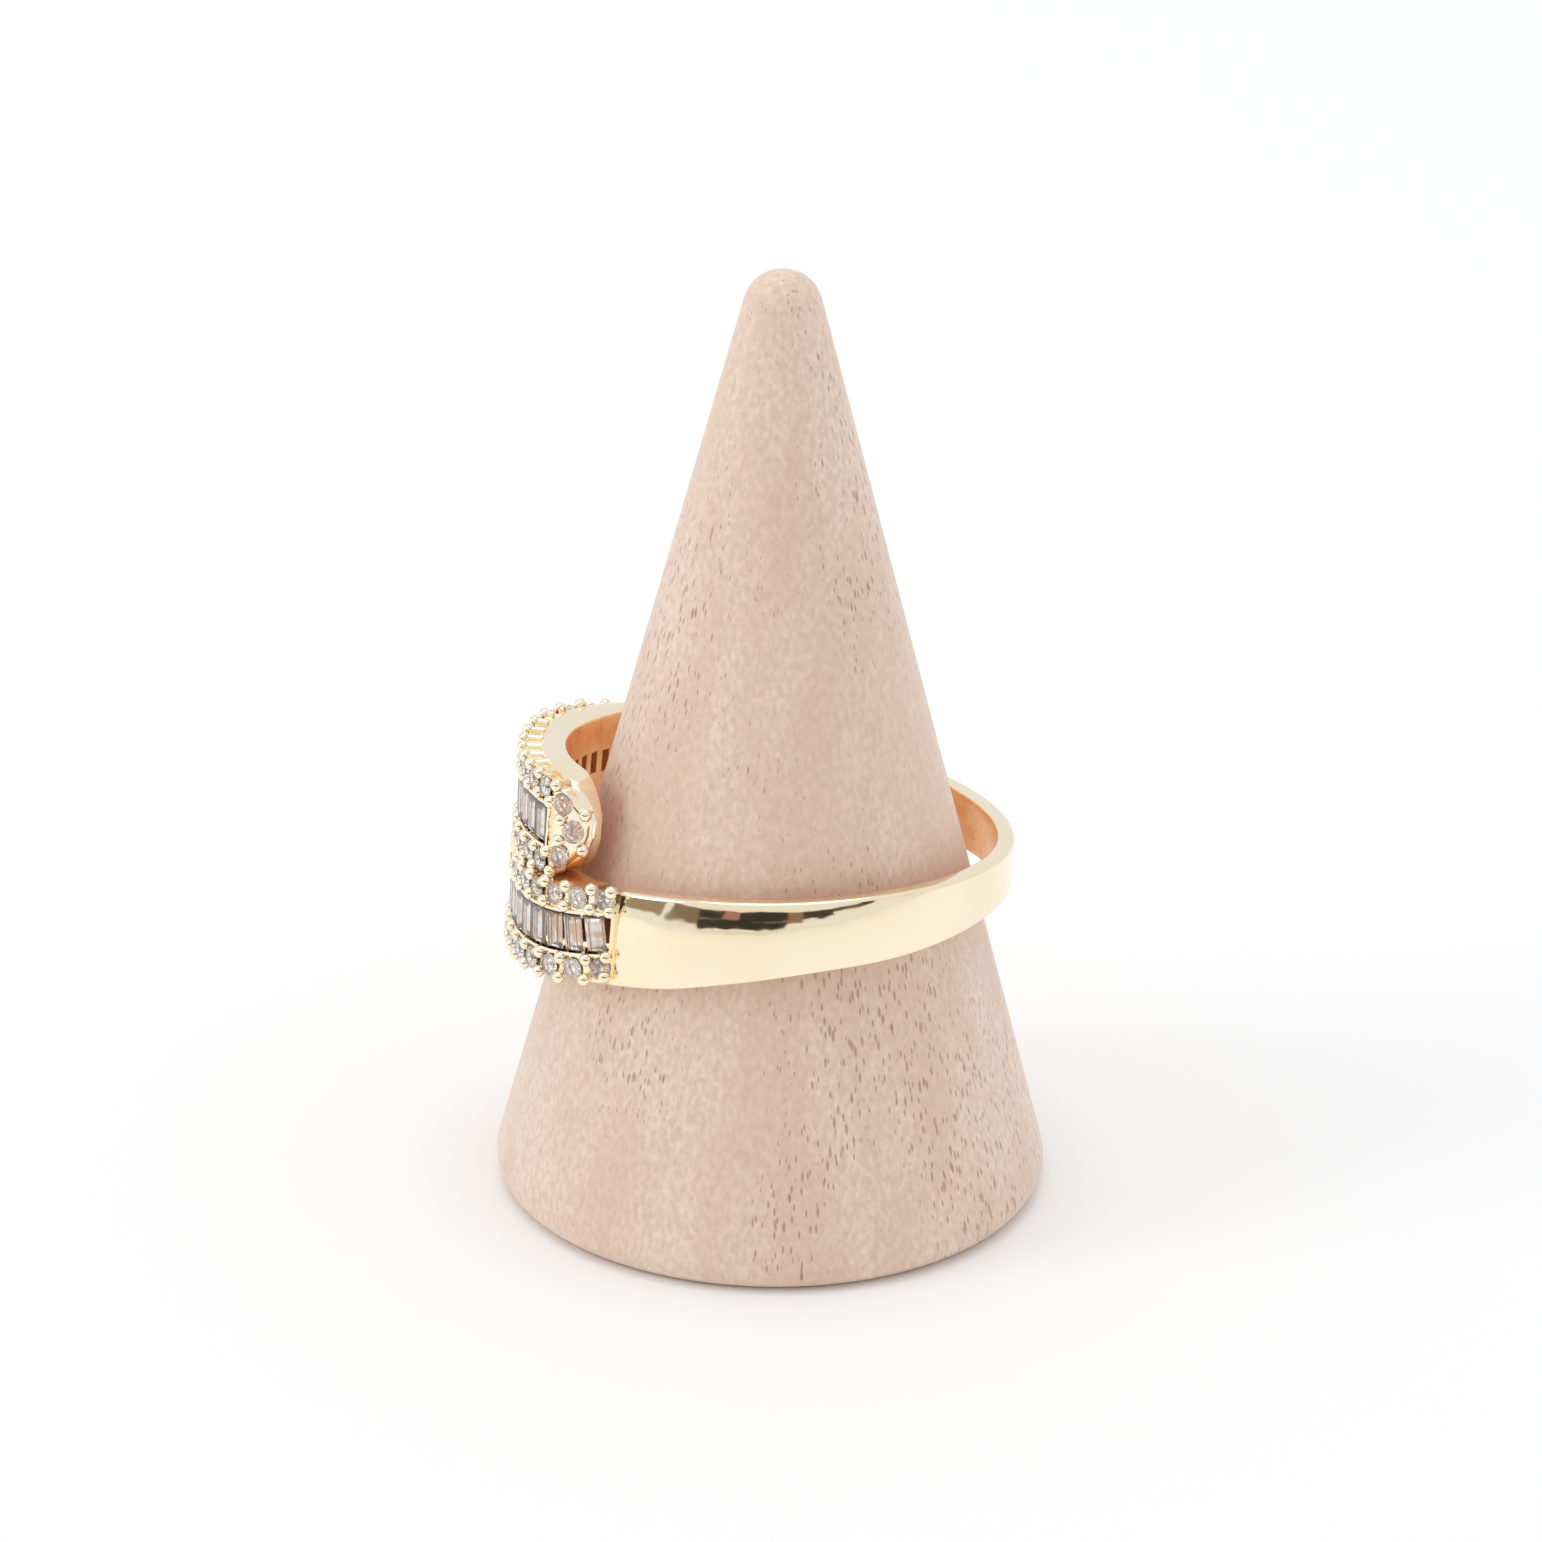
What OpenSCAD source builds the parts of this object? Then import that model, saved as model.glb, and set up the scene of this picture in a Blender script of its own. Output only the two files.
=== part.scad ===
// Bypass ring with two stone-set arms, seated on a turned wooden ring cone.
// Millimetres. The cone stands on z = 0 with its axis on Z, and the stones face -X.

/* [Wooden cone] */
// Diameter of the cone where its side line meets the floor
cone_base_d = 25; // [24.5:0.1:26]
// Height of the cone
cone_h = 43.1; // [42:0.1:46]
// Radius of the rounded tip
cone_tip_r = 1.75; // [1:0.05:2.2]
// Radius of the rounded edge round the foot
cone_foot_r = 1; // [0.5:0.1:1.5]

/* [Ring] */
// Inner diameter of the ring
ring_inner_d = 19.3; // [19.3:0.1:20]
// Rounding of the shank's two outer edges
shank_shoulder = 0.26; // [0.15:0.01:0.35]
// Crown of the shank's outer face
shank_crown = 0.05; // [0:0.01:0.1]
// Small bevel on the ring's inner edges
inner_bevel = 0.1; // [0.05:0.01:0.15]
// Turn from the middle of the front to where the shank meets the stones
stones_start = 50.3; // [50:0.1:51]
// Turn from the middle of the front to the middle of an arm's round end
end_turn = 24.3; // [24:0.1:25]

/* [Round stones] */
// Diameter of a round stone
stone_d = 1.02; // [0.96:0.01:1.04]
// Round stones in each straight row
row_stones = 12; // [10:1:12]
// Round stones round the end of an arm, between its two rows
end_stones = 3; // [3:1:3]

/* [Prongs] */
// Diameter of a prong
prong_d = 0.4; // [0.34:0.01:0.42]
// Distance of a prong's middle from the middle of its row
prong_offset = 0.45; // [0.44:0.01:0.46]

/* [Baguettes] */
// Baguettes in each arm
arm_baguettes = 14; // [12:1:14]
// Length of a baguette, which lies across the arm
baguette_l = 1.6; // [1.4:0.02:1.6]
// Gap between two baguettes
baguette_gap = 0.13; // [0.13:0.01:0.2]
// Thickness of the rails beside the baguettes
rail_t = 0.13; // [0.1:0.01:0.14]

/* [Ring on the cone] */
// Height of the ring's middle above the floor
seat_z = 15.37; // [15.37:0.01:16.5]
// Ring's middle from the cone's axis, along X
seat_x = 0.1; // [0.05:0.01:0.12]
// Ring's middle from the cone's axis, along Y
seat_y = 0.89; // [0.86:0.01:0.92]
// Tilt about X, which lifts the side towards -Y
seat_lean = -7; // [-7.1:0.1:-6.9]
// Tilt about Y, which lifts the front
seat_pitch = 1.8; // [1.7:0.1:1.9]

/* [Hidden] */
eps = 0.01;
mm_per_turn = PI / 180;
ring_r = ring_inner_d / 2;

// Cone: lean of its side line, found from the base, the height and the rounded tip
cone_sides = 128;
round_sides = 48;
tip_z = cone_h - cone_tip_r;
base_r = cone_base_d / 2;
cone_lean = atan(base_r / tip_z) - asin(cone_tip_r / sqrt(base_r * base_r + tip_z * tip_z));
foot_x = base_r - cone_foot_r * (1 + sin(cone_lean)) / cos(cone_lean);

// Half of the ring: it runs from behind the back, past the near side and through the front
// to the round end of the lower arm. The other half is the same, turned over about X.
// Columns: turn from the front, middle height, half of the width, wall
TURN = 0;
MIDDLE = 1;
HALF = 2;
WALL = 3;
stations = [
    [-45, -2.38, 2.28, 1.25],
    [-26, -2.34, 2.28, 1.20],
    [0, -2.26, 2.20, 1.12],
    [10, -2.21, 2.15, 1.23],
    [20, -2.14, 2.10, 1.55],
    [29, -2.06, 2.07, 1.88],
    [36, -1.99, 2.07, 1.84],
    [43, -1.91, 2.10, 1.60],
    [47, -1.86, 2.12, 1.36],
    [51, -1.79, 2.13, 1.10],
    [65, -1.42, 2.00, 1.05],
    [80, -0.98, 1.75, 1.00],
    [100, -0.51, 1.49, 0.95],
    [120, -0.26, 1.39, 0.90],
    [150, -0.03, 1.21, 0.82],
    [180, 0.00, 1.10, 0.80],
    [210, 0.03, 1.21, 0.82]
];
// The stones of that arm. Columns: turn from the front, middle height, distance of the two rows
// of round stones from it, reach of the prongs from the ring's inner face
REACH = 2;
TIPS = 3;
rows = [
    [-45, -2.38, 1.68, 2.20],
    [-26, -2.34, 1.68, 2.18],
    [0, -2.26, 1.61, 2.16],
    [12, -2.21, 1.60, 2.22],
    [20, -2.16, 1.61, 2.34],
    [29, -2.07, 1.62, 2.42],
    [36, -1.95, 1.64, 2.32],
    [43, -1.76, 1.62, 2.08],
    [48, -1.60, 1.58, 1.78],
    [53, -1.52, 1.44, 1.52]
];

// Middle of the round end of the rows of stones
row_end = 26;
// Bed that holds the stones: its depth below the tips of the prongs, its edge from the middle
// of the outer rows, and how far its root goes into the wall
bed_drop = 0.37;
bed_edge = 0.34;
bed_root = 0.3;
// An arm's end rounds down like a dome: its height, and the share of it that the wall takes
dome_h = 1.2;
wall_dome = 0.55;
// Steepest lean of the stones and prongs that follow the dome
lean_most = 48;
// Stones: girdle above the bed, and the heights of a crown and a pavilion
girdle_lift = 0.05;
girdle_t = 0.05;
crown_h = 0.16;
pavilion_h = 0.42;
table_ratio = 0.56;
seat_clear = 0.05;
// Baguettes: height of the rails above the bed and depth of the channel below it
rail_h = 0.14;
channel_depth = 0.62;
channel_top = 1;
baguette_pavilion = 0.5;
baguette_bevel = 0.24;
rail_clear = 0.09;
rail_root = 0.2;
// Lean of the ring's wall towards the top
front_lean = 0.035;
// Prongs: how far the root goes into the wall, and the round of the tip
prong_root = 0.2;
tip_round = 0.1;
facets = 8;
prong_facets = 6;
// Openings in the inner wall behind the baguettes
window_w = 0.55;
window_margin = 0.3;
window_inset = 0.5;
window_depth = 2.1;
// Strip that joins the two arms behind the groove between them
joint_turn = 23;
joint_half = 0.2;
joint_inset = 0.06;
joint_t = 0.55;
joint_sections = 4;
// Turn from where the stones start to the middle of the first round stone
row_first = 2.2;
// How far the baguettes stay from the shank, how much room the channel leaves before the first
// one, and how far they pass the middle of the round end
channel_first = 1.2;
channel_slack = 0.6;
channel_past = 2;
// How far a bed goes into the shank, and the tenon that a wall goes into it with
bed_overlap = 0.2;
tenon_turn = 0.6;
tenon_inset = 0.3;
seam_turn = 0.3;
// Where a wall's round end is drawn, and how far round it the last section lies
wall_end_r = ring_r + 1;
end_sweep = 86;
// Shares of a shoulder that its middle point is drawn in by, and of a thin end that is bevelled
shoulder_share = 0.3;
bevel_share = 0.3;
// Turn between two sections
shank_step = 5;
arm_step = 5;
end_sections = 9;

row_pitch = (stones_start + row_end - row_first) / (row_stones - 1);
end_angle = 180 / (end_stones + 1);
path_last = 2 * row_stones + end_stones - 1;
channel_end = -row_end - channel_past;
channel_start = stones_start - channel_first;
baguette_turn = (channel_start - channel_end) / arm_baguettes;

baguette_nodes = [for (i = [1 : 2 * arm_baguettes]) str("baguette_", i < 10 ? "0" : "", i)];

// Smooth value of one column of a table at a turn
function span(table, turn, i = 0) =
    i >= len(table) - 2 || turn < table[i + 1][TURN] ? i : span(table, turn, i + 1);
function slope(table, i, column) =
    let (a = table[max(i - 1, 0)], b = table[min(i + 1, len(table) - 1)])
    (b[column] - a[column]) / (b[TURN] - a[TURN]);
function smooth(table, turn, column) =
    let (
        i = span(table, turn),
        a = table[i],
        b = table[i + 1],
        width = b[TURN] - a[TURN],
        t = (turn - a[TURN]) / width
    )
    a[column] * (2 * t * t * t - 3 * t * t + 1)
    + slope(table, i, column) * width * (t * t * t - 2 * t * t + t)
    + b[column] * (3 * t * t - 2 * t * t * t)
    + slope(table, i + 1, column) * width * (t * t * t - t * t);
function band(turn, column) = smooth(stations, turn, column);
function row(turn, column) = smooth(rows, turn, column);

// The shank passes the back, where the second half's middle height changes its sign
function shank_value(turn, column) =
    turn <= 180 ? band(turn, column)
    : (column == MIDDLE ? -1 : 1) * band(360 - turn, column);

// A point of the ring at a radius, a turn from the front and a height. The whole ring leans
// in a little towards its top.
function at(r, turn, z) = [-r * cos(turn) + front_lean * z, -r * sin(turn), z];
// A point to the nearest thousandth of a millimetre, so that bars cut each other cleanly
parts_per_mm = 1000;
function rounded(point) = [for (v = point) round(v * parts_per_mm) / parts_per_mm];

// Reach of the rows at their round end, radius of the bed there, and length of the dome
end_reach = row(-row_end, REACH);
end_bed_r = ring_r + row(-row_end, TIPS) - bed_drop;
bed_end_half = end_reach + bed_edge;

// How far past the middle of the round end a turn lies, up to 1 at the edge of the bed
function past_end(turn) =
    max(0, min(1, (-row_end - turn) * end_bed_r * mm_per_turn / bed_end_half));
function dome(turn) = dome_h * (1 - sqrt(1 - pow(past_end(turn), 2)));
function wall_r(turn) = ring_r + band(turn, WALL) - wall_dome * dome(turn);
function tip_r(turn) = ring_r + row(turn, TIPS) - dome(turn);
function bed_r(turn) = tip_r(turn) - bed_drop;
// Lean of the bed's surface towards the round end
function lean(turn) =
    let (rise = tip_r(turn + 0.5) - tip_r(turn - 0.5))
    max(-lean_most, min(lean_most, atan(rise / (tip_r(turn) * mm_per_turn))));

// Share of the full width that is left round an end, where the outline is a half circle
function round_end(turn, end, radius, r) =
    let (u = (-end - turn) * r * mm_per_turn / radius)
    u <= 0 ? 1 : sqrt(max(0, 1 - u * u));

// A spot on the row of round stones: it runs out along the lower row, round the end and
// back along the upper row, at a distance from the middle of the row
function spot(t, offset = 0) =
    let (
        way = t <= row_stones - 1 ? -1 : t >= row_stones + end_stones ? 1 : 0,
        k = way < 0 ? t : path_last - t,
        turn = stones_start - row_first - k * row_pitch,
        angle = (t - row_stones + 1) * end_angle,
        reach = end_reach + offset
    )
    way == 0
    ? [
        -row_end - reach * sin(angle) / (end_bed_r * mm_per_turn),
        row(-row_end, MIDDLE) - reach * cos(angle)
    ]
    : [turn, row(turn, MIDDLE) + way * (row(turn, REACH) + offset)];

// Faces of a closed tube through rings of points
function tube_faces(rings, sides) = concat(
    [[for (j = [0 : sides - 1]) j]],
    [[for (j = [sides - 1 : -1 : 0]) (rings - 1) * sides + j]],
    [
        for (i = [0 : rings - 2], j = [0 : sides - 1])
        [
            i * sides + j,
            (i + 1) * sides + j,
            (i + 1) * sides + (j + 1) % sides,
            i * sides + (j + 1) % sides
        ]
    ]
);

// A solid through outlines that lie at falling turns: each outline point is [radius, height].
// Side is 1 for the lower half of the ring and -1 for the upper one, turned over about X.
module bent_bar(turns, outlines, side = 1) {
    sides = len(outlines[0]);
    points = [
        for (i = [0 : len(turns) - 1], p = outlines[i])
        rounded(at(p[0], side * turns[i], side * p[1]))
    ];
    polyhedron(points, tube_faces(len(turns), sides));
}

// A plain bar with flat sides, between two radii and two heights that follow the turn
function slab(low_r, high_r, middle, half) = [
    [low_r, middle - half],
    [high_r, middle - half],
    [high_r, middle + half],
    [low_r, middle + half]
];

// Moves its children to a place on the ring, with their Z pointing outwards or leaning
module on_ring(r, turn, z, leaning = 0) {
    translate(at(r, turn, z))
        rotate([0, 0, turn + 180])
            rotate([0, 90, 0])
                rotate([leaning, 0, 0])
                    children();
}

// Moves its children to a turn and a height on an arm's bed, square to its surface
module on_bed(turn, z, side) {
    on_ring(bed_r(turn), side * turn, side * z, side * lean(turn)) children();
}

// Seats the ring on the cone
module on_cone() {
    translate([seat_x, seat_y, seat_z])
        rotate([seat_lean, 0, 0])
            rotate([0, seat_pitch, 0])
                children();
}

// Outline of the shank: flat edges, rounded shoulders and a slightly crowned face
function shank_outline(turn) =
    let (
        m = shank_value(turn, MIDDLE),
        h = shank_value(turn, HALF),
        r = ring_r + shank_value(turn, WALL),
        s = shank_shoulder,
        c = shank_crown
    )
    [
        [ring_r, m - h + inner_bevel],
        [ring_r + inner_bevel, m - h],
        [r - c - s, m - h],
        [r - c - s * shoulder_share, m - h + s * shoulder_share],
        [r - c, m - h + s],
        [r, m],
        [r - c, m + h - s],
        [r - c - s * shoulder_share, m + h - s * shoulder_share],
        [r - c - s, m + h],
        [ring_r + inner_bevel, m + h],
        [ring_r, m + h - inner_bevel]
    ];

module shank() {
    sweep = 360 - 2 * stones_start;
    count = ceil(sweep / shank_step);
    turns = [for (i = [count : -1 : 0]) stones_start + sweep * i / count];
    bent_bar(turns, [for (a = turns) shank_outline(a)]);
}

// Outline of an arm's wall, whose outer face carries the bed
end_half = band(-end_turn, HALF);
function arm_outline(turn) =
    let (
        m = band(turn, MIDDLE),
        h = band(turn, HALF) * round_end(turn, end_turn, end_half, wall_end_r),
        b = min(inner_bevel, h * bevel_share)
    )
    [
        [ring_r, m - h + b],
        [ring_r + inner_bevel, m - h],
        [wall_r(turn), m - h],
        [wall_r(turn), m + h],
        [ring_r + inner_bevel, m + h],
        [ring_r, m + h - b]
    ];

// The tenon is that outline, drawn in on all sides
function tenon_outline(turn) =
    let (m = band(turn, MIDDLE), h = band(turn, HALF) - tenon_inset, b = inner_bevel)
    [
        [ring_r + tenon_inset, m - h + b],
        [ring_r + tenon_inset + b, m - h],
        [wall_r(turn) - tenon_inset, m - h],
        [wall_r(turn) - tenon_inset, m + h],
        [ring_r + tenon_inset + b, m + h],
        [ring_r + tenon_inset, m + h - b]
    ];

// Outline of the bed on an arm
function bed_outline(turn) =
    let (
        m = row(turn, MIDDLE),
        h = (row(turn, REACH) + bed_edge) * round_end(turn, row_end, bed_end_half, end_bed_r)
    )
    slab(wall_r(turn) - bed_root, bed_r(turn), m, h);

// Turns from the shank to an arm's round end, closer together round the end
function end_turns(first, end, radius, r) =
    let (count = ceil((first + end) / arm_step))
    concat(
        [for (i = [0 : count]) first - (first + end) * i / count],
        [
            for (i = [1 : end_sections])
            -end - radius / (r * mm_per_turn) * sin(end_sweep * i / end_sections)
        ]
    );
wall_turns = end_turns(stones_start - seam_turn, end_turn, end_half, wall_end_r);
bed_turns = end_turns(stones_start + bed_overlap, row_end, bed_end_half, end_bed_r);

function channel_turns(first, last) =
    let (count = ceil((first - last) / arm_step))
    [for (i = [0 : count]) first - (first - last) * i / count];

// The rails stand on the bed as one block, and the channel is cut out of it
module rail_block(side) {
    past_end = rail_t / (end_bed_r * mm_per_turn);
    turns = channel_turns(channel_start, channel_end - past_end);
    half = baguette_l / 2 + rail_clear + rail_t;
    bent_bar(turns, [
        for (a = turns) slab(bed_r(a) - rail_root, bed_r(a) + rail_h, row(a, MIDDLE), half)
    ], side);
}

module channel(side) {
    turns = channel_turns(channel_start + channel_slack, channel_end);
    half = baguette_l / 2 + rail_clear;
    bent_bar(turns, [
        for (a = turns)
        slab(bed_r(a) - channel_depth, bed_r(a) + channel_top, row(a, MIDDLE), half)
    ], side);
}

module windows(side) {
    for (i = [0 : arm_baguettes - 1]) {
        turn = channel_start - (i + 0.5) * baguette_turn;
        on_ring(ring_r - window_inset, side * turn, side * row(turn, MIDDLE))
            translate([-baguette_l / 2 + window_margin, -window_w / 2, 0])
                cube([baguette_l - 2 * window_margin, window_w, window_depth]);
    }
}

// A round pocket under each round stone
module stone_seats(side) {
    r = stone_d / 2 + seat_clear;
    depth = pavilion_h + seat_clear;
    for (t = [0 : path_last]) {
        p = spot(t);
        on_bed(p[0], p[1], side)
            translate([0, 0, girdle_lift - depth])
                cylinder(h = depth + eps, r1 = 0, r2 = r, $fn = facets);
    }
}

// A prong is a rod with a rounded tip
module prong(length) {
    hull() {
        cylinder(h = length - tip_round, d = prong_d, $fn = prong_facets);
        cylinder(h = length, d = prong_d - 2 * tip_round, $fn = prong_facets);
    }
}

// Prongs stand between each two round stones, on both sides of the row
module prongs(side) {
    for (t = [0.5 : 1 : path_last - 0.5], way = [-1, 1]) {
        p = spot(t, way * prong_offset);
        depth = (bed_r(p[0]) - wall_r(p[0])) / cos(lean(p[0])) + prong_root;
        on_bed(p[0], p[1], side) translate([0, 0, -depth]) prong(bed_drop + depth);
    }
}

module arm(side) {
    tenon = stones_start + tenon_turn;
    bent_bar(
        concat([tenon], wall_turns),
        concat([tenon_outline(tenon)], [for (a = wall_turns) arm_outline(a)]),
        side
    );
    bent_bar(bed_turns, [for (a = bed_turns) bed_outline(a)], side);
    rail_block(side);
}

module joint_strip() {
    n = joint_sections;
    turns = [for (i = [n : -1 : -n]) joint_turn * i / n];
    low_r = ring_r + joint_inset;
    bent_bar(turns, [for (a = turns) slab(low_r, low_r + joint_t, 0, joint_half)]);
}

module ring_band() {
    color("#e9c884")
        on_cone() {
            difference() {
                union() {
                    shank();
                    joint_strip();
                    for (side = [1, -1]) arm(side);
                }
                for (side = [1, -1]) {
                    channel(side);
                    windows(side);
                    stone_seats(side);
                }
            }
            for (side = [1, -1]) prongs(side);
        }
}

// A round stone: table, crown, girdle and pavilion
module round_stone() {
    r = stone_d / 2;
    hull() {
        rotate([0, 0, 180 / facets])
            cylinder(h = girdle_t + crown_h, r = r * table_ratio, $fn = facets);
        cylinder(h = girdle_t, r = r, $fn = facets);
        translate([0, 0, -pavilion_h])
            cylinder(h = pavilion_h, r1 = 0, r2 = r, $fn = facets);
    }
}

module round_stones() {
    color("#e4dcda")
        on_cone()
            for (t = [0 : path_last], side = [1, -1]) {
                p = spot(t);
                on_bed(p[0], p[1], side) translate([0, 0, girdle_lift]) round_stone();
            }
}

// A baguette: a step-cut bar with a flat table
module step_cut(length, width) {
    bevel = baguette_bevel;
    hull() {
        translate([-length / 2, -width / 2, 0])
            cube([length, width, girdle_t]);
        translate([-length / 2 + bevel, -width / 2 + bevel, 0])
            cube([length - 2 * bevel, width - 2 * bevel, girdle_t + crown_h]);
        translate([-length / 2 + bevel, -eps, -baguette_pavilion])
            cube([length - 2 * bevel, 2 * eps, baguette_pavilion]);
    }
}

// Baguettes are counted along the lower arm first, then along the upper one
module baguette(number) {
    i = (number - 1) % arm_baguettes;
    side = number > arm_baguettes ? -1 : 1;
    turn = channel_start - (i + 0.5) * baguette_turn;
    r = bed_r(turn);
    width = baguette_turn * r * mm_per_turn - baguette_gap;
    rise = row(turn + 1, MIDDLE) - row(turn - 1, MIDDLE);
    color("#ded6d6")
        on_cone()
            on_bed(turn, row(turn, MIDDLE), side)
                rotate([0, 0, atan(rise / (2 * r * mm_per_turn))])
                    step_cut(baguette_l, width);
}

// Wooden ring cone, turned from one piece, with a rounded tip and a rounded foot
module ring_cone() {
    side = [sin(cone_lean), cos(cone_lean)];
    color("#dcc0a9")
        rotate_extrude($fn = cone_sides)
            intersection() {
                square([cone_base_d, cone_h]);
                union() {
                    polygon([
                        [0, 0],
                        [foot_x, 0],
                        [foot_x + cone_foot_r * side[1], cone_foot_r * (1 + side[0])],
                        [cone_tip_r * side[1], tip_z + cone_tip_r * side[0]],
                        [0, tip_z]
                    ]);
                    translate([foot_x, cone_foot_r]) circle(r = cone_foot_r, $fn = round_sides);
                    translate([0, tip_z]) circle(r = cone_tip_r, $fn = round_sides);
                }
            }
}

ring_cone();
ring_band();
round_stones();
for (i = [1 : 2 * arm_baguettes])
    baguette(i);
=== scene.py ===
"""Bypass ring with two stone-set arms on a turned wooden ring cone."""

import math

import bpy
from mathutils import Matrix, Vector


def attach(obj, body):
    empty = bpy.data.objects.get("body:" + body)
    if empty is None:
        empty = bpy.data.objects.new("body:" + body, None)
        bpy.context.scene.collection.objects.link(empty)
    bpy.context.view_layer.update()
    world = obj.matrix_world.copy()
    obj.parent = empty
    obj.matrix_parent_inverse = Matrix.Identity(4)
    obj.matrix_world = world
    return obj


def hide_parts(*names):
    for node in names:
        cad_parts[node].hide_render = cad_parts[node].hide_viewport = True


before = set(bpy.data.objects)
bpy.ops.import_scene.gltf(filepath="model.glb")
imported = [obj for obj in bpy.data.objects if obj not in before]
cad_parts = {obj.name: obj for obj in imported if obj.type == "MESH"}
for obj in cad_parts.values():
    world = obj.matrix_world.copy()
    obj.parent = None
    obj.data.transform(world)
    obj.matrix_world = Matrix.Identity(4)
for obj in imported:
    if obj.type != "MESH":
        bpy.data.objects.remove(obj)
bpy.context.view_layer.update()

# Metres in a millimetre
METRES = 0.001

# Sizes in millimetres and angles in degrees, nearly all as in the part's source
RING_R = 9.65
FRONT_LEAN = 0.035
STONES_START = 50.3

# Cone
CONE_R = 12.5
CONE_H = 43.1
CONE_TIP_R = 1.75
CONE_FOOT_R = 1.0

# How the ring sits on the cone
SEAT_X = 0.1
SEAT_Y = 0.89
SEAT_Z = 15.37
SEAT_LEAN = -7
SEAT_PITCH = 1.8

# Rows of round stones and their prongs
END_TURN = 24.3
ROW_END = 26
ROW_STONES = 12
END_STONES = 3
ROW_FIRST = 2.2
STONE_D = 1.02
GIRDLE_T = 0.05
GIRDLE_LIFT = 0.05
PAVILION_H = 0.42
SEAT_CLEAR = 0.05
PRONG_D = 0.4
PRONG_OFFSET = 0.45
PRONG_ROOT = 0.05
SEAM_PRONG = 0.9

# Bed that carries the stones, and the dome at its end
BED_DROP = 0.37
BED_EDGE = 0.34
BED_ROOT = 0.3
DOME_H = 1.2
WALL_DOME = 0.55
LEAN_MOST = 48

# Channel of baguettes, its rails and the windows behind it
BAGUETTES = 14
BAGUETTE_L = 1.6
BAGUETTE_GAP = 0.13
CHANNEL_FIRST = 1.2
CHANNEL_SLACK = 0.6
CHANNEL_PAST = 2
CHANNEL_DEPTH = 0.62
CHANNEL_STEPS = 30
RAIL_H = 0.14
RAIL_T = 0.13
RAIL_ROOT = 0.2
RAIL_CLEAR = 0.09
WINDOW_W = 0.55
WINDOW_H = 1.0

# Joint behind the groove between the arms
JOINT_TURN = 23
JOINT_HALF = 0.2
JOINT_LOW = 0.06
JOINT_HIGH = 0.61
JOINT_STEPS = 12

# The arms face each other up to this turn, and the wall's inner face lies within this depth
GAP_TURN = 42
SKIN = 0.2
# Least share of a face's normal along the way it is said to face
FACING = 0.5
# Outline vertices lie within this distance of it
NEAR = 0.005
# A stone's or prong's vertices below these heights are those that its lower part starts from
GIRDLE_FOOT = 0.001
ROD_FOOT = -0.5
# A cutter passes the surface that it cuts by this much
CUT_PAST = 1

# The metal's own course round the finger: turn from the front, middle height, half width, wall
METAL = [
    (-45, -2.38, 2.28, 1.25),
    (-26, -2.34, 2.28, 1.20),
    (0, -2.26, 2.20, 1.12),
    (10, -2.21, 2.15, 1.23),
    (20, -2.14, 2.10, 1.55),
    (29, -2.06, 2.07, 1.88),
    (36, -1.99, 2.07, 1.84),
    (43, -1.91, 2.10, 1.60),
    (47, -1.86, 2.12, 1.36),
    (51, -1.79, 2.13, 1.10),
    (65, -1.42, 2.00, 1.05),
    (80, -0.98, 1.75, 1.00),
    (100, -0.51, 1.49, 0.95),
    (120, -0.26, 1.39, 0.90),
    (150, -0.03, 1.21, 0.82),
    (180, 0.00, 1.10, 0.80),
    (210, 0.03, 1.21, 0.82),
]
# The stones' course on an arm: turn, middle height, distance of the outer rows, prong reach
STONES = [
    (-45, -2.38, 1.68, 2.20),
    (-26, -2.34, 1.68, 2.18),
    (0, -2.26, 1.61, 2.16),
    (12, -2.21, 1.60, 2.22),
    (20, -2.16, 1.61, 2.34),
    (29, -2.07, 1.62, 2.42),
    (36, -1.95, 1.64, 2.32),
    (43, -1.76, 1.62, 2.08),
    (48, -1.60, 1.58, 1.78),
    (53, -1.52, 1.44, 1.52),
]
MIDDLE, HALF, WALL = 1, 2, 3
REACH, TIPS = 2, 3

# The metal's strips are drawn flat, at this radius, and then rolled round the ring
FLAT_R = RING_R + 1
FLAT_MM = math.radians(FLAT_R)


def course(table, turn, column):
    """Value of one column of a course at a turn, read smoothly between its rows."""
    last = len(table) - 1
    i = 0
    while i < last - 1 and turn >= table[i + 1][0]:
        i += 1

    def slope(k):
        before, after = table[max(k - 1, 0)], table[min(k + 1, last)]
        return (after[column] - before[column]) / (after[0] - before[0])

    a, b = table[i], table[i + 1]
    width = b[0] - a[0]
    t = (turn - a[0]) / width
    return (
        a[column] * (2 * t**3 - 3 * t**2 + 1)
        + slope(i) * width * (t**3 - 2 * t**2 + t)
        + b[column] * (3 * t**2 - 2 * t**3)
        + slope(i + 1) * width * (t**3 - t**2)
    )


def metal(turn, column):
    """Value of the metal's course. Past the back it is the other arm's, upside down."""
    if turn <= 180:
        return course(METAL, turn, column)
    value = course(METAL, 360 - turn, column)
    return -value if column == MIDDLE else value


def stones(turn, column):
    """Value of the stones' course."""
    return course(STONES, turn, column)


END_REACH = stones(-ROW_END, REACH)
END_HALF = metal(-END_TURN, HALF)
END_BED_R = RING_R + stones(-ROW_END, TIPS) - BED_DROP
DOME_L = END_REACH + BED_EDGE


def past_end(turn):
    """How far past the rows' end a turn lies: 0 before it and 1 at the edge of the bed."""
    return min(max(math.radians(-ROW_END - turn) * END_BED_R / DOME_L, 0), 1)


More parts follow.
